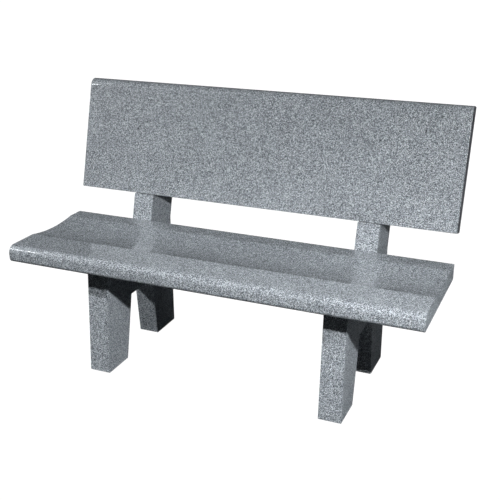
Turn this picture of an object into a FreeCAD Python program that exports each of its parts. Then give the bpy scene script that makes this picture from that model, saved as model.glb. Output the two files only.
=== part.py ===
import FreeCAD, Part
import math
import os
import Sketcher
from FreeCAD import Placement, Rotation, Vector

# A polished granite bench with a reclined granite backrest.
# Frame: millimetres, +X along the bench, +Y to the back, +Z up.
# Origin: on the ground, at the middle of the bench's whole length and depth.

# Driving dimensions, in millimetres and degrees.
SIZES = (
    ("nose_ahead", 320.5),      # seat's front edge ahead of the origin: half the whole depth
    # seat slab
    ("seat_length", 1370),
    ("seat_depth", 414),
    ("seat_under", 395),        # underside of the seat above the ground
    ("seat_rear_thick", 53),    # thickness at the flat rear band
    ("crest_rise", 2),          # front crest above the rear band
    ("crest_run", 130),         # nose to the rear edge of the flat crest
    ("dish_sag", 11),           # depth of the dish below the line between its two edges
    ("nose_round", 25),         # rounding of the front edge's top
    ("nose_under", 14),         # rounding of the front edge's underside
    ("band_depth", 62),         # flat band along the rear edge
    # backrest slab
    ("back_length", 1360),
    ("back_tall", 393),
    ("back_thick", 50),
    ("back_round", 28),         # rounding of the front top edge
    ("back_base", 537),         # height of the backrest's lower front edge
    ("recline", 15.5),          # backward lean in degrees
    # side supports, in side view, with depths measured back from the seat's front edge
    ("support_thick", 76),
    ("support_offset", 412),    # middle of the pair of supports to a support's centre
    ("support_shift", -12),     # the pair stands this far from the seat's middle
    ("front_toe", 87),          # front leg, front face at the ground
    ("front_top", 114),         # the same face at the seat
    ("front_heel", 209),        # front leg, rear face at the ground
    ("arch_front", 257),        # front upper corner of the opening between the legs
    ("arch_rear", 404),         # rear upper corner of that opening
    ("arch_top", 228),          # height of the opening
    ("rear_toe", 426),          # rear leg, front face at the ground
    ("rear_heel", 559),         # rear leg, rear face at the ground
    ("bend_level", 420),        # where the rear face starts to lean back
    ("post_thick", 146),        # post, square to its lean
    ("post_rise", 245),         # post behind the backrest, above the ledge
    ("post_fall", 18),          # slope of the post's top towards the rear
    # joints
    ("bed", 2),                 # thickness of a mortar bed
    ("bed_recess", 4),          # bed kept back from the faces of the stone
    ("rear_gap", 1),            # open joint between the seat and the posts
    ("arris", 2),               # softened edges of the stone
    ("pin_radius", 6),
    ("pin_hole_radius", 7),
    ("pin_in_support", 45),
    ("pin_in_slab", 28),
    ("pin_play", 1),            # free space at each end of a dowel
    ("seat_pin_front", 175),    # seat dowels behind the seat's front edge
    ("seat_pin_rear", 335),
    ("back_pin_low", 70),       # backrest dowels above the backrest's lower edge
    ("back_pin_high", 180),
)

# Expressions that several pieces share.
LEAN = "(sizes.recline * 1 deg)"
FRONT_EDGE = "(-sizes.nose_ahead)"
REAR_EDGE = "(sizes.seat_depth - sizes.nose_ahead)"
BAND_LEVEL = "(sizes.seat_under + sizes.seat_rear_thick)"
CREST_LEVEL = f"({BAND_LEVEL} + sizes.crest_rise)"
SUPPORT_TOP = "(sizes.seat_under - sizes.bed)"
POST_FACE = f"({REAR_EDGE} + sizes.rear_gap)"
BACK_FOOT = f"({POST_FACE} + (sizes.back_base - {BAND_LEVEL}) * tan({LEAN}))"


def support_middle(side):
    """Distance along the bench of a support's centre; side is -1 for the left and 1 for the right."""
    return f"({side} * sizes.support_offset + sizes.support_shift)"


def behind_nose(alias):
    """Depth in the frame of a size measured back from the seat's front edge."""
    return f"(sizes.{alias} - sizes.nose_ahead)"


doc = FreeCAD.newDocument("bench")
sheet = doc.addObject("Spreadsheet::Sheet", "sizes")


def fill_sheet():
    for row, (alias, number) in enumerate(SIZES, start=1):
        sheet.set(f"A{row}", alias)
        sheet.set(f"B{row}", str(number))
        sheet.setAlias(f"B{row}", alias)
    doc.recompute()


def value(expression):
    """The number that an expression on the sheet gives now."""
    result = sheet.evalExpression(expression)
    return float(getattr(result, "Value", result))


def reclined(along, across):
    """Point in the backrest's own axes: along it from its lower front edge, across it from its face."""
    depth = f"{BACK_FOOT} + ({along}) * sin({LEAN}) + ({across}) * cos({LEAN})"
    level = f"sizes.back_base + ({along}) * cos({LEAN}) - ({across}) * sin({LEAN})"
    return depth, level


def new_body(label):
    body = doc.addObject("PartDesign::Body", label)
    body.Label = label
    return body


def new_sketch(body, name, plane, offset=None):
    """Sketch on one of the body's own origin planes."""
    sketch = body.newObject("Sketcher::SketchObject", name)
    support = [item for item in body.Origin.OriginFeatures if item.Role == plane][0]
    sketch.AttachmentSupport = (support, "")
    sketch.MapMode = "FlatFace"
    if offset is not None:
        sketch.AttachmentOffset = offset
    return sketch


def bind_distance(sketch, kind, geometry, point, name, expression):
    """Hold a sketch point at a signed distance from the sketch's origin."""
    number = value(expression)
    if abs(number) < 1e-9:
        axis = -2 if kind == "DistanceX" else -1
        sketch.addConstraint(Sketcher.Constraint("PointOnObject", geometry, point, axis))
        return
    ends = (-1, 1, geometry, point) if number > 0 else (geometry, point, -1, 1)
    index = sketch.addConstraint(Sketcher.Constraint(kind, *ends, abs(number)))
    sketch.renameConstraint(index, name)
    signed = expression if number > 0 else f"-({expression})"
    sketch.setExpression(f"Constraints.{name}", signed)


def arc_between(start, end, radius, side):
    """Arc from start to end; side 1 bulges to the right of the way, -1 to the left."""
    middle = (start + end) / 2
    half = (end - start).Length / 2
    heading = (end - start).normalize()
    left = Vector(-heading.y, heading.x, 0)
    centre = middle + left * side * math.sqrt(radius ** 2 - half ** 2)
    first, last = (start, end) if side > 0 else (end, start)
    angles = [math.atan2(spot.y - centre.y, spot.x - centre.x) for spot in (first, last)]
    circle = Part.Circle(centre, Vector(0, 0, 1), radius)
    return Part.ArcOfCircle(circle, *angles)


def draw_outline(sketch, corners, arcs=None):
    """Closed outline through (across, up) expressions; arcs maps a side's number to (radius, side)."""
    arcs = arcs or {}
    spots = [Vector(value(across), value(up), 0) for across, up in corners]
    count = len(corners)
    ends = []
    for number in range(count):
        start = spots[number]
        end = spots[(number + 1) % count]
        if number in arcs:
            radius, side = arcs[number]
            geometry = sketch.addGeometry(arc_between(start, end, value(radius), side), False)
            ends.append((geometry, 1, 2) if side > 0 else (geometry, 2, 1))
            continue
        geometry = sketch.addGeometry(Part.LineSegment(start, end), False)
        ends.append((geometry, 1, 2))
    for number in range(count):
        geometry, first, last = ends[number]
        following, its_first, _ = ends[(number + 1) % count]
        sketch.addConstraint(Sketcher.Constraint("Coincident", geometry, last, following, its_first))
    for number, (across, up) in enumerate(corners):
        geometry, first, _ = ends[number]
        bind_distance(sketch, "DistanceX", geometry, first, f"across_{number}", across)
        bind_distance(sketch, "DistanceY", geometry, first, f"up_{number}", up)
        if number in arcs:
            radius = arcs[number][0]
            index = sketch.addConstraint(Sketcher.Constraint("Radius", geometry, value(radius)))
            sketch.renameConstraint(index, f"radius_{number}")
            sketch.setExpression(f"Constraints.radius_{number}", radius)


def draw_holes(sketch, centres):
    """Dowel holes at (across, up) expressions."""
    for number, (across, up) in enumerate(centres):
        centre = Vector(value(across), value(up), 0)
        circle = Part.Circle(centre, Vector(0, 0, 1), value("sizes.pin_hole_radius"))
        geometry = sketch.addGeometry(circle, False)
        bind_distance(sketch, "DistanceX", geometry, 3, f"across_{number}", across)
        bind_distance(sketch, "DistanceY", geometry, 3, f"up_{number}", up)
        index = sketch.addConstraint(Sketcher.Constraint("Radius", geometry, circle.Radius))
        sketch.renameConstraint(index, f"radius_{number}")
        sketch.setExpression(f"Constraints.radius_{number}", "sizes.pin_hole_radius")


def add_pad(body, sketch, length):
    pad = body.newObject("PartDesign::Pad", "slab")
    pad.Profile = sketch
    pad.SideType = "Symmetric"
    pad.setExpression("Length", length)
    doc.recompute()
    return pad


def add_pocket(body, sketch, depth, toward_normal):
    """Cut the dowel holes and make sure that they removed stone."""
    before = body.Shape.Volume
    pocket = body.newObject("PartDesign::Pocket", "dowel_holes")
    pocket.Profile = sketch
    pocket.Reversed = toward_normal
    pocket.setExpression("Length", depth)
    doc.recompute()
    if body.Shape.Volume >= before:
        raise RuntimeError(f"{body.Label}: a pocket removed nothing")
    return pocket


def add_arris(body, base, chosen):
    """Soften the edges of base that chosen(edge) picks."""
    names = [f"Edge{number}" for number, edge in enumerate(base.Shape.Edges, start=1) if chosen(edge)]
    arris = body.newObject("PartDesign::Fillet", "arris")
    arris.Base = (base, names)
    arris.setExpression("Radius", "sizes.arris")
    doc.recompute()
    return arris


def on_side_face(half_length):
    """Test for edges that lie in one of the two faces square to X."""
    def test(edge):
        box = edge.BoundBox
        flat = box.XLength < 0.01
        return flat and abs(abs(box.XMin) - half_length) < 0.01
    return test


def make_seat():
    """Granite slab with a rounded front edge, a flat crest, a shallow dish and a flat rear band."""
    body = new_body("seat_slab")
    crest_end = f"({FRONT_EDGE} + sizes.crest_run)"
    dish_end = f"({REAR_EDGE} - sizes.band_depth)"
    dish_run = "(sizes.seat_depth - sizes.band_depth - sizes.crest_run)"
    half_width_squared = f"(({dish_run} ^ 2 + sizes.crest_rise ^ 2) / 4)"
    dish_radius = f"(({half_width_squared} + sizes.dish_sag ^ 2) / (2 * sizes.dish_sag))"
    corners = (
        (REAR_EDGE, "sizes.seat_under"),
        (REAR_EDGE, BAND_LEVEL),
        (dish_end, BAND_LEVEL),
        (crest_end, CREST_LEVEL),
        (f"({FRONT_EDGE} + sizes.nose_round)", CREST_LEVEL),
        (FRONT_EDGE, f"({CREST_LEVEL} - sizes.nose_round)"),
        (FRONT_EDGE, "(sizes.seat_under + sizes.nose_under)"),
        (f"({FRONT_EDGE} + sizes.nose_under)", "sizes.seat_under"),
    )
    arcs = {
        2: (dish_radius, -1),
        4: ("sizes.nose_round", 1),
        6: ("sizes.nose_under", 1),
    }
    sketch = new_sketch(body, "seat_profile", "YZ_Plane")
    draw_outline(sketch, corners, arcs)
    slab = add_pad(body, sketch, "sizes.seat_length")
    half = value("sizes.seat_length / 2")
    rear = value(REAR_EDGE)
    on_end = on_side_face(half)

    def is_arris(edge):
        box = edge.BoundBox
        along_rear = box.XLength > half and abs(box.YMin - rear) < 0.01
        return on_end(edge) or along_rear

    add_arris(body, slab, is_arris)
    underside = Placement(Vector(0, 0, value("sizes.seat_under")), Rotation())
    holes = new_sketch(body, "seat_hole_centres", "XY_Plane", underside)
    holes.setExpression("AttachmentOffset.Base.z", "sizes.seat_under")
    rows = (behind_nose("seat_pin_front"), behind_nose("seat_pin_rear"))
    centres = [(support_middle(side), row) for side in (-1, 1) for row in rows]
    draw_holes(holes, centres)
    add_pocket(body, holes, "sizes.pin_in_slab + sizes.pin_play", True)
    return body


def reclined_placement(across="0", along="0", sideways="0"):
    """Placement expression of a piece drawn in the backrest's own axes."""
    depth, level = reclined(along, across)
    base = f"vector({sideways}; {depth}; {level})"
    return f"placement({base}; rotation(vector(1; 0; 0); -sizes.recline))"


def make_backrest():
    """Granite slab with a rounded front top edge, drawn upright and then leaned back."""
    body = new_body("backrest_slab")
    round_start = "(sizes.back_tall - sizes.back_round)"
    corners = (
        ("0", "0"),
        ("sizes.back_thick", "0"),
        ("sizes.back_thick", "sizes.back_tall"),
        ("sizes.back_round", "sizes.back_tall"),
        ("0", round_start),
    )
    sketch = new_sketch(body, "backrest_profile", "YZ_Plane")
    draw_outline(sketch, corners, {3: ("sizes.back_round", 1)})
    slab = add_pad(body, sketch, "sizes.back_length")
    half = value("sizes.back_length / 2")
    on_end = on_side_face(half)
    tangent_level = value(round_start)
    round_depth = value("sizes.back_round")
    tall = value("sizes.back_tall")

    def is_arris(edge):
        box = edge.BoundBox
        along = box.XLength > half
        smooth_low = box.YMax < 0.01 and abs(box.ZMin - tangent_level) < 0.01
        smooth_high = abs(box.YMin - round_depth) < 0.01 and abs(box.ZMin - tall) < 0.01
        return on_end(edge) or (along and not smooth_low and not smooth_high)

    add_arris(body, slab, is_arris)
    rear_face = Placement(Vector(0, 0, -value("sizes.back_thick")), Rotation())
    holes = new_sketch(body, "backrest_hole_centres", "XZ_Plane", rear_face)
    holes.setExpression("AttachmentOffset.Base.z", "-sizes.back_thick")
    rows = ("sizes.back_pin_low", "sizes.back_pin_high")
    draw_holes(holes, [(support_middle(side), row) for side in (-1, 1) for row in rows])
    add_pocket(body, holes, "sizes.pin_in_slab + sizes.pin_play", True)
    body.setExpression("Placement", reclined_placement())
    return body


def support_corners():
    """Side view of a support: two legs, the opening, the seat's bearing and the reclined post."""
    ledge_front = reclined("-sizes.bed", "0")
    ledge_inner = reclined("-sizes.bed", "sizes.back_thick + sizes.bed")
    post_front = reclined("sizes.post_rise", "sizes.back_thick + sizes.bed")
    post_rear = reclined("sizes.post_rise - sizes.post_fall", "sizes.post_thick")
    bend_depth = f"({POST_FACE} + sizes.post_thick / cos({LEAN})"
    bend_depth += f" - ({BAND_LEVEL} - sizes.bend_level) * tan({LEAN}))"
    return (
        (behind_nose("front_toe"), "0"),
        (behind_nose("front_heel"), "0"),
        (behind_nose("arch_front"), "sizes.arch_top"),
        (behind_nose("arch_rear"), "sizes.arch_top"),
        (behind_nose("rear_toe"), "0"),
        (behind_nose("rear_heel"), "0"),
        (bend_depth, "sizes.bend_level"),
        post_rear,
        post_front,
        ledge_inner,
        ledge_front,
        (POST_FACE, BAND_LEVEL),
        (POST_FACE, SUPPORT_TOP),
        (behind_nose("front_top"), SUPPORT_TOP),
    )


def make_support(label, side):
    """One granite side support; side is -1 for the left and 1 for the right."""
    body = new_body(label)
    sketch = new_sketch(body, f"{label}_profile", "YZ_Plane")
    draw_outline(sketch, support_corners())
    slab = add_pad(body, sketch, "sizes.support_thick")
    add_arris(body, slab, on_side_face(value("sizes.support_thick / 2")))

    bearing = Placement(Vector(0, 0, value(SUPPORT_TOP)), Rotation())
    seat_holes = new_sketch(body, f"{label}_seat_holes", "XY_Plane", bearing)
    seat_holes.setExpression("AttachmentOffset.Base.z", SUPPORT_TOP)
    rows = (behind_nose("seat_pin_front"), behind_nose("seat_pin_rear"))
    draw_holes(seat_holes, [("0", depth) for depth in rows])
    add_pocket(body, seat_holes, "sizes.pin_in_support + sizes.pin_play", False)

    depth, level = reclined("0", "sizes.back_thick + sizes.bed")
    lean = Rotation(Vector(1, 0, 0), -value("sizes.recline"))
    post_face = Placement(Vector(0, value(level), -value(depth)), lean)
    back_holes = new_sketch(body, f"{label}_back_holes", "XZ_Plane", post_face)
    back_holes.setExpression("AttachmentOffset.Base.y", level)
    back_holes.setExpression("AttachmentOffset.Base.z", f"-({depth})")
    draw_holes(back_holes, (("0", "sizes.back_pin_low"), ("0", "sizes.back_pin_high")))
    add_pocket(body, back_holes, "sizes.pin_in_support + sizes.pin_play", False)
    body.setExpression("Placement.Base.x", support_middle(side))
    return body


def make_pin(name, placement):
    """One stainless dowel; placement is the expression of its lower end."""
    pin = doc.addObject("Part::Cylinder", name)
    pin.setExpression("Radius", "sizes.pin_radius")
    pin.setExpression("Height", "sizes.pin_in_support + sizes.bed + sizes.pin_in_slab")
    pin.setExpression("Placement", placement)
    return pin


def group_pins(label, pins):
    group = doc.addObject("Part::Compound", label)
    group.Label = label
    group.Links = pins
    return group


def make_seat_dowels():
    """Upright dowels between each support and the seat."""
    pins = []
    for side in (-1, 1):
        for row in ("front", "rear"):
            depth = behind_nose(f"seat_pin_{row}")
            base = f"vector({support_middle(side)}; {depth}; {SUPPORT_TOP} - sizes.pin_in_support)"
            turn = "rotation(vector(0; 0; 1); 0)"
            name = f"seat_pin_{row}_{'left' if side < 0 else 'right'}"
            pins.append(make_pin(name, f"placement({base}; {turn})"))
    return group_pins("seat_dowels", pins)


def make_backrest_dowels():
    """Dowels from each post, square to its lean, into the backrest."""
    pins = []
    across = "sizes.back_thick - sizes.pin_in_slab"
    for side in (-1, 1):
        for row in ("low", "high"):
            depth, level = reclined(f"sizes.back_pin_{row}", across)
            base = f"vector({support_middle(side)}; {depth}; {level})"
            turn = "rotation(vector(1; 0; 0); -sizes.recline - 90)"
            name = f"back_pin_{row}_{'left' if side < 0 else 'right'}"
            pins.append(make_pin(name, f"placement({base}; {turn})"))
    return group_pins("backrest_dowels", pins)


def make_bed(label, lengths, placement):
    """A mortar bed: a thin box in the axes of its placement."""
    box = doc.addObject("Part::Box", label)
    box.Label = label
    for axis, length in zip(("Length", "Width", "Height"), lengths):
        box.setExpression(axis, length)
    box.setExpression("Placement", placement)
    return box


def bore_bed(label, blank, bores):
    """Cut the dowels' holes through a bed."""
    cutters = []
    for number, placement in enumerate(bores, start=1):
        bore = doc.addObject("Part::Cylinder", f"{label}_bore_{number}")
        bore.setExpression("Radius", "sizes.pin_hole_radius")
        bore.setExpression("Height", "sizes.bed * 3")
        bore.setExpression("Placement", placement)
        cutters.append(bore)
    holes = doc.addObject("Part::Compound", f"{label}_bores")
    holes.Links = cutters
    cut = doc.addObject("Part::Cut", label)
    cut.Base = blank
    cut.Tool = holes
    cut.Label = label
    return cut


def make_seat_bed(label, side):
    """Mortar bed between a support and the seat's underside."""
    width = "(sizes.support_thick - 2 * sizes.bed_recess)"
    run = "(sizes.seat_depth - sizes.front_top - 2 * sizes.bed_recess)"
    corner = f"{support_middle(side)} - {width} / 2"
    start = f"{behind_nose('front_top')} + sizes.bed_recess"
    base = f"vector({corner}; {start}; {SUPPORT_TOP})"
    still = "rotation(vector(0; 0; 1); 0)"
    blank = make_bed(f"{label}_blank", (width, run, "sizes.bed"), f"placement({base}; {still})")
    bores = []
    for row in ("front", "rear"):
        depth = behind_nose(f"seat_pin_{row}")
        spot = f"vector({support_middle(side)}; {depth}; {SUPPORT_TOP} - sizes.bed)"
        bores.append(f"placement({spot}; {still})")
    return bore_bed(label, blank, bores)


def make_ledge_bed(label, side):
    """Mortar bed between a post's ledge and the backrest's lower edge."""
    width = "(sizes.support_thick - 2 * sizes.bed_recess)"
    run = "(sizes.back_thick - 2 * sizes.bed_recess)"
    corner = f"{support_middle(side)} - {width} / 2"
    placement = reclined_placement("sizes.bed_recess", "-sizes.bed", corner)
    return make_bed(label, (width, run, "sizes.bed"), placement)


def make_rear_bed(label, side):
    """Mortar bed between a post and the backrest's rear face."""
    width = "(sizes.support_thick - 2 * sizes.bed_recess)"
    rise = "(sizes.post_rise - 2 * sizes.bed_recess)"
    corner = f"{support_middle(side)} - {width} / 2"
    placement = reclined_placement("sizes.back_thick", "sizes.bed_recess", corner)
    blank = make_bed(f"{label}_blank", (width, "sizes.bed", rise), placement)
    bores = []
    for row in ("low", "high"):
        depth, level = reclined(f"sizes.back_pin_{row}", "sizes.back_thick - sizes.bed")
        spot = f"vector({support_middle(side)}; {depth}; {level})"
        bores.append(f"placement({spot}; rotation(vector(1; 0; 0); -sizes.recline - 90))")
    return bore_bed(label, blank, bores)


def check(pieces):
    """Stop if any object failed or any piece is not a valid shape."""
    for item in doc.Objects:
        if "Invalid" in item.State or "Error" in item.State:
            raise RuntimeError(f"{item.Label}: {item.State}")
    for piece in pieces:
        if piece.Shape.isNull() or not piece.Shape.isValid():
            raise RuntimeError(f"{piece.Label}: bad shape")


def export(pieces):
    os.makedirs("parts", exist_ok=True)
    for piece in pieces:
        piece.Shape.exportStep(f"parts/{piece.Label}.step")
        print(piece.Label, len(piece.Shape.Solids), "solid(s)", round(piece.Shape.Volume / 1000), "cm3")


def main():
    fill_sheet()
    pieces = [make_seat(), make_backrest()]
    for name, side in (("left", -1), ("right", 1)):
        pieces.append(make_support(f"side_support_{name}", side))
        pieces.append(make_seat_bed(f"seat_bed_{name}", side))
        pieces.append(make_ledge_bed(f"ledge_bed_{name}", side))
        pieces.append(make_rear_bed(f"rear_bed_{name}", side))
    pieces.append(make_seat_dowels())
    pieces.append(make_backrest_dowels())
    doc.recompute()
    check(pieces)
    export(pieces)


main()
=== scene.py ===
import math

import bmesh
import bpy
from mathutils import Matrix, Vector


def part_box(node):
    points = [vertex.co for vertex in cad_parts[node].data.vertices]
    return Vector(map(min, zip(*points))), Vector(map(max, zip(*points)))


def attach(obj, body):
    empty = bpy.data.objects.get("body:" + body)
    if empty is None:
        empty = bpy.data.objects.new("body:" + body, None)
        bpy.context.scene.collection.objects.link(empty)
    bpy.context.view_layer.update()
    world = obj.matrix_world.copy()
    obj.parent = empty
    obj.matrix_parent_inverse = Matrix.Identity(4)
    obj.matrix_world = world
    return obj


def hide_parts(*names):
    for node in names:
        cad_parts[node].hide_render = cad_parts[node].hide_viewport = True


# A polished grey granite bench. Metres, +X along the bench, +Y to the back, +Z up.
# Every piece is placed from the boxes of the CAD nodes; the sizes below only shape it.

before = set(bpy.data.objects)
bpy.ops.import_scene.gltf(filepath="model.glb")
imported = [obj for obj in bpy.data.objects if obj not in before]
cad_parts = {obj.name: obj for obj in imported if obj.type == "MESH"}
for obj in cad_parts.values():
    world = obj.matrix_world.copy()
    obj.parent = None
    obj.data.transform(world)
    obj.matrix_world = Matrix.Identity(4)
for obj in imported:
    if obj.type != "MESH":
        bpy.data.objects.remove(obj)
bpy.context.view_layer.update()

# Seat, in side view, measured back from its front edge and down from its crest.
CREST_RISE = 0.002
CREST_RUN = 0.130
DISH_SAG = 0.011
NOSE_ROUND = 0.025
NOSE_UNDER = 0.014
BAND_DEPTH = 0.062

# Backrest, in its own axes.
RECLINE = math.radians(15.5)
BACK_TALL = 0.393
BACK_THICK = 0.050
BACK_ROUND = 0.028

# Supports, in side view: depths are measured back from the seat's front edge.
FRONT_TOE = 0.087
FRONT_TOP = 0.114
FRONT_HEEL = 0.209
ARCH_FRONT = 0.257
ARCH_REAR = 0.404
ARCH_TOP = 0.228
REAR_TOE = 0.426
REAR_HEEL = 0.559
BEND_LEVEL = 0.420
POST_THICK = 0.146
POST_RISE = 0.245
POST_FALL = 0.018

# Joints and dowel holes.
BED = 0.002
REAR_GAP = 0.001
HOLE_RADIUS = 0.007
HOLE_SIDES = 32
HOLE_IN_SUPPORT = 0.046
HOLE_IN_SLAB = 0.029
HOLE_START = 0.004       # a drill starts or ends this far outside the stone
SEAT_PINS = (0.175, 0.335)
BACK_PINS = (0.070, 0.180)

# Softened edges, and how finely round stretches are divided.
ARRIS = 0.002
CORNER = 0.0026
ARRIS_STEPS = 4
CORNER_STEPS = 5
DISH_STEPS = 40
NOSE_STEPS = 20
UNDER_STEPS = 14
ROUND_STEPS = 18
SPAN = 0.10              # longest stretch of a slab between two rings of its mesh
SQUARE_TO_X = 0.999      # a face whose normal's X is above this is an end face, shaded flat
FLAT_FACE_WEIGHT = 60


# ---------------------------------------------------------------- outlines

def arc_points(centre, radius, start, end, steps):
    """Points on an arc of a (depth, level) plane, angles in degrees from +depth towards +level."""
    points = []
    for step in range(steps + 1):
        angle = math.radians(start + (end - start) * step / steps)
        points.append((centre[0] + radius * math.cos(angle), centre[1] + radius * math.sin(angle)))
    return points


def soften(corners):
    """Round each (depth, level, radius) corner of a closed outline; radius 0 keeps the point."""
    outline = []
    count = len(corners)
    for number, (depth, level, radius) in enumerate(corners):
        here = Vector((depth, level))
        if radius <= 0:
            outline.append(here)
            continue
        before = Vector(corners[number - 1][:2]) - here
        after = Vector(corners[(number + 1) % count][:2]) - here
        before.normalize()
        after.normalize()
        half = before.angle(after) / 2
        centre = here + (before + after).normalized() * (radius / math.sin(half))
        first = (here + before * (radius / math.tan(half)) - centre).normalized()
        last = (here + after * (radius / math.tan(half)) - centre).normalized()
        for step in range(CORNER_STEPS + 1):
            outline.append(centre + first.slerp(last, step / CORNER_STEPS) * radius)
    return outline


def inward_offsets(outline):
    """For each point of a counter-clockwise outline, the move that shifts its sides in by 1."""
    count = len(outline)
    moves = []
    for number in range(count):
        before = (outline[number] - outline[number - 1]).normalized()
        after = (outline[(number + 1) % count] - outline[number]).normalized()
        first = Vector((-before.y, before.x))
        second = Vector((-after.y, after.x))
        middle = (first + second).normalized()
        moves.append(middle / max(0.5, middle.dot(first)))
    return moves


# ---------------------------------------------------------------- meshes

def new_piece(name, mesh):
    piece = bpy.data.objects.new(name, mesh)
    bpy.context.scene.collection.objects.link(piece)
    return piece


def ring_stations(low_x, high_x):
    """(x, inset) of a slab's rings: a quarter-round arris at both ends and plain rings between."""
    turns = [math.pi / 2 * step / ARRIS_STEPS for step in range(ARRIS_STEPS + 1)]
    rounding = [(ARRIS * (1 - math.cos(turn)), ARRIS * (1 - math.sin(turn))) for turn in turns]
    stations = [(low_x + run, inset) for run, inset in rounding]
    spans = max(1, round((high_x - low_x) / SPAN))
    for number in range(1, spans):
        stations.append((low_x + (high_x - low_x) * number / spans, 0))
    stations += [(high_x - run, inset) for run, inset in reversed(rounding)]
    return stations


def sweep(outline, low_x, high_x):
    """Closed mesh of an outline swept along X, with an arris round both end faces."""
    moves = inward_offsets(outline)
    form = bmesh.new()
    rings = []
    for x, inset in ring_stations(low_x, high_x):
        ring = []
        for point, move in zip(outline, moves):
            spot = point + move * inset
            ring.append(form.verts.new((x, spot.x, spot.y)))
        rings.append(ring)
    count = len(outline)
    for ring, following in zip(rings, rings[1:]):
        for number in range(count):
            after = (number + 1) % count
            form.faces.new((ring[number], ring[after], following[after], following[number]))
    form.faces.new(list(reversed(rings[0])))
    form.faces.new(rings[-1])
    bmesh.ops.recalc_face_normals(form, faces=form.faces)
    for face in form.faces:
        face.smooth = True
    mesh = bpy.data.meshes.new("swept")
    form.to_mesh(mesh)
    form.free()
    return mesh


def drill_bit(length, matrix):
    """Mesh of a plain rod standing on the origin of matrix along its Z."""
    form = bmesh.new()
    bmesh.ops.create_cone(form, cap_ends=True, segments=HOLE_SIDES, radius1=HOLE_RADIUS,
                          radius2=HOLE_RADIUS, depth=length)
    bmesh.ops.translate(form, verts=form.verts, vec=(0, 0, length / 2))
    bmesh.ops.transform(form, verts=form.verts, matrix=matrix)
    mesh = bpy.data.meshes.new("drill_bit")
    form.to_mesh(mesh)
    form.free()
    return mesh


def drill(piece, bores):
    """Cut round holes, given as (length, matrix), out of a piece."""
    form = bmesh.new()
    for length, matrix in bores:
        mesh = drill_bit(length, matrix)
        form.from_mesh(mesh)
        bpy.data.meshes.remove(mesh)
    cutter_mesh = bpy.data.meshes.new("cutter")
    form.to_mesh(cutter_mesh)
    form.free()
    cutter = new_piece("cutter", cutter_mesh)
    cut = piece.modifiers.new("bores", "BOOLEAN")
    cut.object = cutter
    cut.operation = "DIFFERENCE"
    cut.solver = "EXACT"
    bpy.context.view_layer.update()
    graph = bpy.context.evaluated_depsgraph_get()
    whole = piece.data
    piece.data = bpy.data.meshes.new_from_object(piece.evaluated_get(graph))
    piece.modifiers.clear()
    for face in piece.data.polygons:
        face.use_smooth = abs(face.normal.x) < SQUARE_TO_X
    bpy.data.meshes.remove(whole)
    bpy.data.objects.remove(cutter)
    bpy.data.meshes.remove(cutter_mesh)


def settle_normals(piece):
    """Flat faces stay flat and the rounded arrises turn between them."""
    weighted = piece.modifiers.new("flat_faces", "WEIGHTED_NORMAL")
    weighted.mode = "FACE_AREA"
    weighted.weight = FLAT_FACE_WEIGHT
    weighted.keep_sharp = True


# ---------------------------------------------------------------- the stone's places

SEAT_LOW, SEAT_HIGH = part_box("seat_slab")
BACK_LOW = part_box("backrest_slab")[0]
NOSE_Y = SEAT_LOW.y
BAND_LEVEL = SEAT_HIGH.z - CREST_RISE
POST_FACE = SEAT_HIGH.y + REAR_GAP
LEAN_COS = math.cos(RECLINE)
LEAN_SIN = math.sin(RECLINE)
# An arris takes this much off the backrest's box at its lowest and foremost edges.
ROUND_LOSS = ARRIS * (LEAN_COS + LEAN_SIN - 1)
BACK_BASE = BACK_LOW.z - ROUND_LOSS + BACK_THICK * LEAN_SIN
BACK_FOOT = BACK_LOW.y - ROUND_LOSS


def reclined(along, across):
    """(depth, level) of a point along and across the backrest from its lower front edge."""
    depth = BACK_FOOT + along * LEAN_SIN + across * LEAN_COS
    level = BACK_BASE + along * LEAN_COS - across * LEAN_SIN
    return depth, level


def seat_outline():
    """Rounded front edge, flat crest, shallow scooped dish and flat rear band."""
    under = SEAT_LOW.z
    crest = SEAT_HIGH.z
    rear = SEAT_HIGH.y
    dish_rear = Vector((rear - BAND_DEPTH, BAND_LEVEL))
    dish_front = Vector((NOSE_Y + CREST_RUN, crest))
    chord = dish_front - dish_rear
    radius = (chord.length ** 2 / 4 + DISH_SAG ** 2) / (2 * DISH_SAG)
    turn = math.degrees(math.asin(chord.length / 2 / radius))
    down = -90 - math.degrees(math.atan2(chord.y, -chord.x))
    over = Vector((-math.cos(math.radians(down)), -math.sin(math.radians(down))))
    centre = (dish_front + dish_rear) / 2 + over * (radius - DISH_SAG)
    corners = [(rear, under, CORNER), (rear, BAND_LEVEL, CORNER)]
    scoop = arc_points(centre, radius, down + turn, down - turn, DISH_STEPS)
    over_centre = (NOSE_Y + NOSE_ROUND, crest - NOSE_ROUND)
    nosing = arc_points(over_centre, NOSE_ROUND, 90, 180, NOSE_STEPS)
    under_centre = (NOSE_Y + NOSE_UNDER, under + NOSE_UNDER)
    tucking = arc_points(under_centre, NOSE_UNDER, 180, 270, UNDER_STEPS)
    for depth, level in scoop + nosing + tucking:
        corners.append((depth, level, 0))
    return soften(corners)


def backrest_outline():
    """Rounded front top edge, leaned back."""
    spots = [(0, 0, CORNER), (0, BACK_THICK, CORNER), (BACK_TALL, BACK_THICK, CORNER)]
    corners = [(*reclined(along, across), radius) for along, across, radius in spots]
    centre = (BACK_ROUND, BACK_TALL - BACK_ROUND)
    for across, along in arc_points(centre, BACK_ROUND, 90, 180, ROUND_STEPS):
        corners.append((*reclined(along, across), 0))
    return soften(corners)


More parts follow.
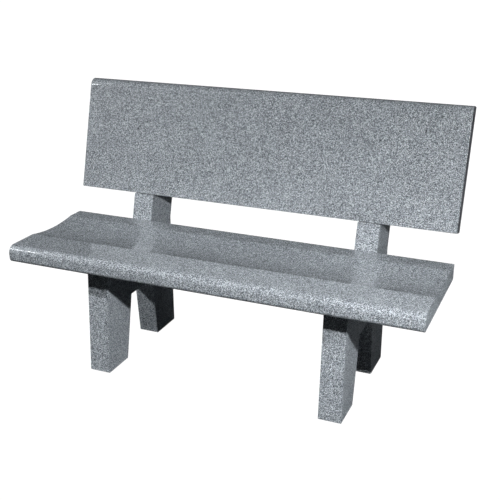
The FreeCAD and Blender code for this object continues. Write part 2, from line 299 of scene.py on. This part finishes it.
def support_outline():
    """Two legs and the opening between them, the seat's bearing, and the post with its ledge."""
    top = SEAT_LOW.z - BED
    bend = POST_FACE + POST_THICK / LEAN_COS - (BAND_LEVEL - BEND_LEVEL) * math.tan(RECLINE)
    at = NOSE_Y
    spots = [
        (at + FRONT_TOE, 0),
        (at + FRONT_HEEL, 0),
        (at + ARCH_FRONT, ARCH_TOP),
        (at + ARCH_REAR, ARCH_TOP),
        (at + REAR_TOE, 0),
        (at + REAR_HEEL, 0),
        (bend, BEND_LEVEL),
        reclined(POST_RISE - POST_FALL, POST_THICK),
        reclined(POST_RISE, BACK_THICK + BED),
        reclined(-BED, BACK_THICK + BED),
        reclined(-BED, 0),
        (POST_FACE, BAND_LEVEL),
        (POST_FACE, top),
        (at + FRONT_TOP, top),
    ]
    return soften([(depth, level, CORNER) for depth, level in spots])


# ---------------------------------------------------------------- materials

class Graph:
    """The node tree of a material, a lamp or the world, written as calls."""

    def __init__(self, owner):
        self.owner = owner
        owner.use_nodes = True
        self.tree = owner.node_tree
        self.tree.nodes.clear()

    def put(self, kind, inputs=None, **settings):
        """Add a node; inputs maps a socket's name or number to a value or another socket."""
        node = self.tree.nodes.new(kind)
        for name, setting in settings.items():
            setattr(node, name, setting)
        for name, given in (inputs or {}).items():
            socket = node.inputs[name]
            if isinstance(given, bpy.types.NodeSocket):
                self.tree.links.new(given, socket)
            else:
                socket.default_value = given
        return node

    def maths(self, operation, first, second=0.0, third=0.0):
        node = self.put("ShaderNodeMath", {0: first, 1: second, 2: third}, operation=operation)
        return node.outputs[0]

    def vector(self, operation, first, second=(0, 0, 0)):
        node = self.put("ShaderNodeVectorMath", {0: first, 1: second}, operation=operation)
        return node.outputs[0]

    def scale(self, first, share):
        node = self.put("ShaderNodeVectorMath", {0: first, "Scale": share}, operation="SCALE")
        return node.outputs[0]

    def ramp(self, factor, stops, interpolation="LINEAR"):
        node = self.put("ShaderNodeValToRGB", {0: factor})
        ramp = node.color_ramp
        ramp.interpolation = interpolation
        while len(ramp.elements) < len(stops):
            ramp.elements.new(0.5)
        for element, (place, shade) in zip(ramp.elements, stops):
            colour = shade if isinstance(shade, tuple) else (shade, shade, shade)
            element.position = place
            element.color = (*colour, 1)
        return node.outputs[0]

    def blend(self, factor, first, second, kind="MIX"):
        colours = {0: factor, 6: first, 7: second}
        node = self.put("ShaderNodeMix", colours, data_type="RGBA", blend_type=kind)
        return node.outputs[2]

    def finish(self, shader, kind="Material"):
        self.put(f"ShaderNodeOutput{kind}", {"Surface": shader})
        return self.owner


GRAIN = 620              # crystals to a metre
FINE_GRAIN = 800
FINE_SHARE = 0.08        # share of the finer crystals in the colour
BORDER_GRAIN = 420.0     # unevenness of the crystals' borders
BORDER_WANDER = 0.003
MINERALS = (
    (0.00, (0.010, 0.011, 0.014)),      # black mica
    (0.13, (0.070, 0.078, 0.088)),      # smoky quartz
    (0.30, (0.198, 0.214, 0.232)),      # grey quartz
    (0.57, (0.412, 0.434, 0.457)),      # grey feldspar
    (0.82, (0.800, 0.823, 0.848)),      # white feldspar
)
MEAN_STONE = (0.300, 0.318, 0.338)
CLOUD_GRAIN = 9.0        # slow drift of the tone through a slab
CLOUD_DRIFT = (0.94, 1.06)
CRYSTAL_TILT = 0.30
CRYSTAL_ROUGHNESS = (0.45, 0.70)
# The faces square to X also take each slab's painted end shading.
HONED_START = 0.75       # X of the normal at which a face begins to be honed
HONED_FULL = 0.97
HONED_CALM = 0.2         # share of the mean tone in a honed face
HONED_POLISH = 0.35      # share of the polish left on a honed face
POLISH_IOR = 1.75
POLISH_ROUGHNESS = 0.01
HALF = (0.5, 0.5, 0.5)


def granite(name, cut, tone_and_shade, painted_end_shading):
    """Polished grey granite; faces square to X are honed, show less of the crystals, get painted
    shading.
    """
    graph = Graph(bpy.data.materials.new(name))
    place = graph.put("ShaderNodeTexCoord").outputs["Object"]
    place = graph.vector("ADD", place, cut)
    border = {"Vector": place, "Scale": BORDER_GRAIN, "Detail": 2.0}
    warp = graph.put("ShaderNodeTexNoise", border)
    wander = graph.scale(graph.vector("SUBTRACT", warp.outputs["Color"], HALF), BORDER_WANDER)
    bent = graph.vector("ADD", place, wander)
    crystals = graph.put("ShaderNodeTexVoronoi", {"Vector": bent, "Scale": GRAIN})
    fine = graph.put("ShaderNodeTexVoronoi", {"Vector": bent, "Scale": FINE_GRAIN})
    draw = graph.put("ShaderNodeSeparateColor", {0: crystals.outputs["Color"]})
    fine_draw = graph.put("ShaderNodeSeparateColor", {0: fine.outputs["Color"]})
    mineral = graph.ramp(draw.outputs[0], MINERALS, "CONSTANT")
    small = graph.ramp(fine_draw.outputs[0], MINERALS, "CONSTANT")
    speckle = graph.blend(FINE_SHARE, mineral, small)
    cloud = {"Vector": place, "Scale": CLOUD_GRAIN, "Detail": 4.0}
    clouds = graph.put("ShaderNodeTexNoise", cloud)
    low, high = CLOUD_DRIFT
    # The tone carries painted shade as well: below 1 it darkens the whole slab, as on the
    # backrest.
    drift = graph.ramp(clouds.outputs[0], ((0.3, low * tone_and_shade), (0.7, high * tone_and_shade)))
    speckle = graph.blend(1.0, speckle, drift, "MULTIPLY")

    normal = graph.put("ShaderNodeNewGeometry").outputs["Normal"]
    facing = graph.put("ShaderNodeSeparateXYZ", {0: normal})
    sideways = graph.maths("ABSOLUTE", facing.outputs[0])
    turn = {0: sideways, 1: HONED_START, 2: HONED_FULL}
    honed_and_shaded = graph.put("ShaderNodeMapRange", turn, interpolation_type="SMOOTHSTEP").outputs[0]
    calm = graph.maths("MULTIPLY", honed_and_shaded, HONED_CALM)
    colour = graph.blend(calm, speckle, (*MEAN_STONE, 1))
    # Painted light and shade: each slab's end shading scales the faces square to X lighter or
    # darker.
    end_shading = graph.put("ShaderNodeMapRange", {0: honed_and_shaded, 3: 1.0, 4: painted_end_shading})
    colour = graph.scale(colour, end_shading.outputs[0])
    polish = graph.put("ShaderNodeMapRange", {0: honed_and_shaded, 3: 1.0, 4: HONED_POLISH})

    smooth, coarse = CRYSTAL_ROUGHNESS
    rough = graph.put("ShaderNodeMapRange", {0: draw.outputs[2], 3: smooth, 4: coarse})
    lean = graph.vector("SUBTRACT", crystals.outputs["Color"], HALF)
    tilt = graph.scale(lean, CRYSTAL_TILT)
    cleave = graph.vector("NORMALIZE", graph.vector("ADD", normal, tilt))
    shader = graph.put("ShaderNodeBsdfPrincipled", {
        "Base Color": colour,
        "Roughness": rough.outputs[0],
        "IOR": 1.5,
        "Specular IOR Level": 0.5,
        "Coat Weight": polish.outputs[0],
        "Coat Roughness": POLISH_ROUGHNESS,
        "Coat IOR": POLISH_IOR,
        "Normal": cleave,
    })
    return graph.finish(shader.outputs[0])


SAND_GRAIN = 1400.0      # grains to a metre
PASTE_GRAIN = 60.0
DARK_PASTE = (0.055, 0.058, 0.062)
PALE_PASTE = (0.11, 0.113, 0.117)
PALE_SAND = (0.27, 0.26, 0.24)


def mortar():
    """Fine grey setting mortar with sand in it."""
    graph = Graph(bpy.data.materials.new("setting_mortar"))
    place = graph.put("ShaderNodeTexCoord").outputs["Object"]
    sand = graph.put("ShaderNodeTexVoronoi", {"Vector": place, "Scale": SAND_GRAIN})
    grains = graph.put("ShaderNodeSeparateColor", {0: sand.outputs["Color"]})
    cloud = graph.put("ShaderNodeTexNoise", {"Vector": place, "Scale": PASTE_GRAIN, "Detail": 5.0})
    paste = graph.ramp(cloud.outputs[0], ((0.3, DARK_PASTE), (0.7, PALE_PASTE)))
    pale = graph.ramp(grains.outputs[0], ((0.0, 0.0), (0.82, 0.0), (0.9, 0.6)))
    colour = graph.blend(pale, paste, (*PALE_SAND, 1))
    height = graph.maths("ADD", cloud.outputs[0], grains.outputs[0])
    bump = graph.put("ShaderNodeBump", {"Strength": 0.5, "Distance": 0.0004, "Height": height})
    shader = graph.put("ShaderNodeBsdfPrincipled", {
        "Base Color": colour,
        "Roughness": 0.93,
        "Normal": bump.outputs[0],
    })
    return graph.finish(shader.outputs[0])


SCRATCH_GRAIN = 1800.0
PATCH_GRAIN = 90.0
DARK_STEEL = (0.47, 0.48, 0.49)
PALE_STEEL = (0.60, 0.61, 0.61)


def stainless():
    """Drawn stainless bar, with fine scratches and a slight change of gloss."""
    graph = Graph(bpy.data.materials.new("stainless_dowel"))
    place = graph.put("ShaderNodeTexCoord").outputs["Object"]
    scratch = {"Vector": place, "Scale": SCRATCH_GRAIN, "Detail": 3.0}
    lines = graph.put("ShaderNodeTexNoise", scratch)
    patch = {"Vector": place, "Scale": PATCH_GRAIN, "Detail": 3.0}
    patches = graph.put("ShaderNodeTexNoise", patch)
    colour = graph.ramp(patches.outputs[0], ((0.35, DARK_STEEL), (0.65, PALE_STEEL)))
    rough = graph.put("ShaderNodeMapRange", {0: lines.outputs[0], 3: 0.22, 4: 0.42})
    drawn = {"Strength": 0.15, "Distance": 0.0001, "Height": lines.outputs[0]}
    bump = graph.put("ShaderNodeBump", drawn)
    shader = graph.put("ShaderNodeBsdfPrincipled", {
        "Base Color": colour,
        "Metallic": 1.0,
        "Roughness": rough.outputs[0],
        "Normal": bump.outputs[0],
    })
    return graph.finish(shader.outputs[0])


# ---------------------------------------------------------------- pieces

def bore_up(x, depth, level, length):
    """Upright bore that starts at the given level."""
    return length, Matrix.Translation((x, depth, level))


def bore_back(x, along, across, length):
    """Bore square to the backrest's face, running towards it from the post."""
    depth, level = reclined(along, across)
    turn = Matrix.Rotation(math.pi / 2 + RECLINE, 4, "X").inverted()
    return length, Matrix.Translation((x, depth, level)) @ turn


def middle_x(node):
    low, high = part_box(node)
    return (low.x + high.x) / 2


# Each slab is cut from its own place in the block; its tone and end shading are painted shade and
# light.
# Painted light brightens the faces square to X of the seat and of the right support.
# Painted shade darkens the backrest all over and on its faces square to X.
SLABS = {
    "seat": ((0.0, 0.0, 0.0), 1.0, 1.6),
    "backrest": ((3.1, 1.7, 0.4), 0.88, 0.76),
    "support_left": ((5.3, 2.9, 1.1), 1.0, 1.0),
    "support_right": ((7.7, 4.1, 2.3), 1.0, 1.25),
}


def place_stone(name, node, outline, bores):
    """Build one stone piece in the place of its CAD node."""
    low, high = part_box(node)
    piece = new_piece(name, sweep(outline, low.x, high.x))
    drill(piece, bores)
    settle_normals(piece)
    piece.data.materials.clear()
    piece.data.materials.append(granite(f"{name}_granite", *SLABS[name]))
    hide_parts(node)
    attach(piece, "root")


def build_slabs():
    """The seat and the backrest, with blind holes over the middle of each support."""
    into_slab = HOLE_IN_SLAB + HOLE_START
    seat_bores = []
    back_bores = []
    for x in (middle_x("side_support_left"), middle_x("side_support_right")):
        for pin in SEAT_PINS:
            seat_bores.append(bore_up(x, NOSE_Y + pin, SEAT_LOW.z - HOLE_START, into_slab))
        for pin in BACK_PINS:
            back_bores.append(bore_back(x, pin, BACK_THICK + HOLE_START, into_slab))
    place_stone("seat", "seat_slab", seat_outline(), seat_bores)
    place_stone("backrest", "backrest_slab", backrest_outline(), back_bores)


def build_supports():
    """The two side supports, with blind holes in their tops and posts."""
    outline = support_outline()
    top = SEAT_LOW.z - BED
    hole_end = BACK_THICK + BED + HOLE_IN_SUPPORT
    into_support = HOLE_IN_SUPPORT + HOLE_START
    for side in ("left", "right"):
        node = f"side_support_{side}"
        x = middle_x(node)
        bores = []
        for pin in SEAT_PINS:
            bores.append(bore_up(x, NOSE_Y + pin, top - HOLE_IN_SUPPORT, into_support))
        for pin in BACK_PINS:
            bores.append(bore_back(x, pin, hole_end, into_support))
        place_stone(f"support_{side}", node, outline, bores)


def finish_small_nodes():
    """The thin beds and the hidden dowels keep their CAD shape and take their own materials."""
    finishes = (
        ("_bed_", "setting_mortar", mortar()),
        ("dowels", "stainless_dowel", stainless()),
    )
    for name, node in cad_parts.items():
        for part_of_name, slot, material in finishes:
            if part_of_name in name:
                node.data.materials.clear()
                node.data.materials.append(material)


# ---------------------------------------------------------------- stage, light and camera

FLOOR_HALF = 40.0
FLOOR_DROP = 0.0005      # keeps the floor clear of the feet
FLOOR_GLOW = 1.15
FLOOR_DIM = (0.03, 0.032, 0.034)
ROOM_COLOUR = (0.86, 0.93, 1.0)
ROOM_GLOW = 0.010
CEILING_GLOW = 0.40
CEILING_START = 0.55     # sine of the elevation at which the mirrored ceiling begins
CEILING_FULL = 0.80
LAMP_COLOUR = (0.93, 0.97, 1.0)
LAMP_RADIUS = 0.03
KEY_PLACE = (1.25, -1.329, 1.362)
FILL_PLACE = (-2.50, -1.67, 2.11)
FILL_GLINT_PLACE = (-2.25, -1.67, 2.11)     # beside the fill lamp, so that its glint meets the eye


def pale_floor():
    """A bright pale floor to the camera; dim to the stone, so that it throws little light up."""
    graph = Graph(bpy.data.materials.new("pale_floor"))
    place = graph.put("ShaderNodeTexCoord").outputs["Object"]
    cloud = graph.put("ShaderNodeTexNoise", {"Vector": place, "Scale": 3.0, "Detail": 4.0})
    pale = graph.ramp(cloud.outputs[0], ((0.3, 0.90), (0.7, 0.93)))
    seen = graph.put("ShaderNodeEmission", {"Color": pale, "Strength": FLOOR_GLOW})
    dim = graph.put("ShaderNodeBsdfDiffuse", {"Color": (*FLOOR_DIM, 1)})
    to_camera = graph.put("ShaderNodeLightPath").outputs["Is Camera Ray"]
    mix = graph.put("ShaderNodeMixShader", {0: to_camera, 1: dim.outputs[0], 2: seen.outputs[0]})
    return graph.finish(mix.outputs[0])


def build_floor():
    form = bmesh.new()
    bmesh.ops.create_grid(form, x_segments=8, y_segments=8, size=FLOOR_HALF)
    mesh = bpy.data.meshes.new("floor")
    form.to_mesh(mesh)
    form.free()
    floor = new_piece("floor", mesh)
    floor.location.z = -FLOOR_DROP
    mesh.materials.append(pale_floor())


def build_world():
    """White to the camera, dim to the stone, with a paler ceiling for the polish to mirror."""
    world = bpy.data.worlds.new("studio")
    bpy.context.scene.world = world
    graph = Graph(world)
    path = graph.put("ShaderNodeLightPath")
    seen = graph.put("ShaderNodeBackground", {0: (1, 1, 1, 1)})
    direction = graph.put("ShaderNodeTexCoord").outputs["Generated"]
    upward = graph.put("ShaderNodeSeparateXYZ", {0: direction}).outputs[2]
    height = {0: upward, 1: CEILING_START, 2: CEILING_FULL, 4: CEILING_GLOW}
    ceiling = graph.put("ShaderNodeMapRange", height, interpolation_type="SMOOTHSTEP").outputs[0]
    glow = graph.maths("MULTIPLY_ADD", ceiling, path.outputs["Is Glossy Ray"], ROOM_GLOW)
    dim = graph.put("ShaderNodeBackground", {0: (*ROOM_COLOUR, 1), 1: glow})
    to_camera = path.outputs["Is Camera Ray"]
    mix = graph.put("ShaderNodeMixShader", {0: to_camera, 1: dim.outputs[0], 2: seen.outputs[0]})
    graph.finish(mix.outputs[0], "World")


def aim(lamp, place, target):
    """Hang a lamp at a place, pointing at the target."""
    lamp.location = place
    lamp.rotation_mode = "QUATERNION"
    lamp.rotation_quaternion = (Vector(target) - Vector(place)).to_track_quat("-Z", "Y")
    bpy.context.scene.collection.objects.link(lamp)


def add_lamp(name, place, target, cone, strength):
    """A small round lamp, brightest on its axis, whose light falls off with the distance."""
    data = bpy.data.lights.new(name, "SPOT")
    data.shadow_soft_size = LAMP_RADIUS
    data.spot_size = math.radians(cone)
    data.spot_blend = 1.0
    data.energy = 1.0
    graph = Graph(data)
    falloff = graph.put("ShaderNodeLightFalloff", {"Strength": strength})
    light = {0: (*LAMP_COLOUR, 1), "Strength": falloff.outputs["Linear"]}
    emission = graph.put("ShaderNodeEmission", light)
    graph.finish(emission.outputs[0], "Light")
    aim(bpy.data.objects.new(name, data), place, target)


def add_panel(name, place, target, width, height, watts):
    """A flat rectangular light that the camera doesn't see."""
    data = bpy.data.lights.new(name, "AREA")
    data.shape = "RECTANGLE"
    data.size = width
    data.size_y = height
    data.energy = watts
    data.color = LAMP_COLOUR
    panel = bpy.data.objects.new(name, data)
    panel.visible_camera = False
    aim(panel, place, target)
    return panel


def add_softbox(name, place, target, side, watts):
    """A square softbox for faces turned away from the lamps; the polish doesn't mirror it."""
    box = add_panel(name, place, target, side, side, watts)
    box.visible_glossy = False


def add_glint(name, place, target, width, height, watts):
    """The face of a lamp as the polish mirrors it, without light of its own on the stone."""
    face = add_panel(name, place, target, width, height, watts)
    face.visible_diffuse = False


def build_lights():
    add_lamp("key", KEY_PLACE, target=(0.78, -1.09, -0.68), cone=172.0, strength=106.0)
    add_lamp("fill", FILL_PLACE, target=(-0.03, -0.23, 0.03), cone=140.0, strength=102.0)
    add_softbox("rear", (-2.4, 2.8, 0.55), target=(0.0, 0.2, 0.45), side=1.2, watts=135.0)
    add_softbox("side", (3.0, 0.3, 0.9), target=(0.4, 0.0, 0.3), side=0.8, watts=6.0)
    add_glint("key_glint", KEY_PLACE, target=(0.68, -0.20, 0.84),
              width=0.25, height=0.25, watts=16.0)
    add_glint("fill_glint", FILL_GLINT_PLACE, target=(-0.60, -0.30, 0.44),
              width=0.30, height=0.12, watts=3.0)


CAMERA_PLACE = (1.0532, -2.3841, 1.4123)
CAMERA_AZIMUTH = math.radians(22.827)
CAMERA_ELEVATION = math.radians(21.782)
CAMERA_SENSOR = 36.0
CAMERA_LENS = 60.70
CAMERA_SHIFT = (-0.0077, 0.0309)


def build_camera():
    """A level camera to the right of the bench's front, looking down on it."""
    data = bpy.data.cameras.new("camera")
    data.sensor_width = CAMERA_SENSOR
    data.lens = CAMERA_LENS
    data.shift_x, data.shift_y = CAMERA_SHIFT
    data.clip_end = 2 * FLOOR_HALF
    camera = bpy.data.objects.new("camera", data)
    camera.location = CAMERA_PLACE
    camera.rotation_euler = (math.pi / 2 - CAMERA_ELEVATION, 0, CAMERA_AZIMUTH)
    bpy.context.scene.collection.objects.link(camera)
    bpy.context.scene.camera = camera


def main():
    bpy.context.scene.view_settings.view_transform = "Standard"
    build_slabs()
    build_supports()
    finish_small_nodes()
    build_floor()
    build_world()
    build_lights()
    build_camera()


main()
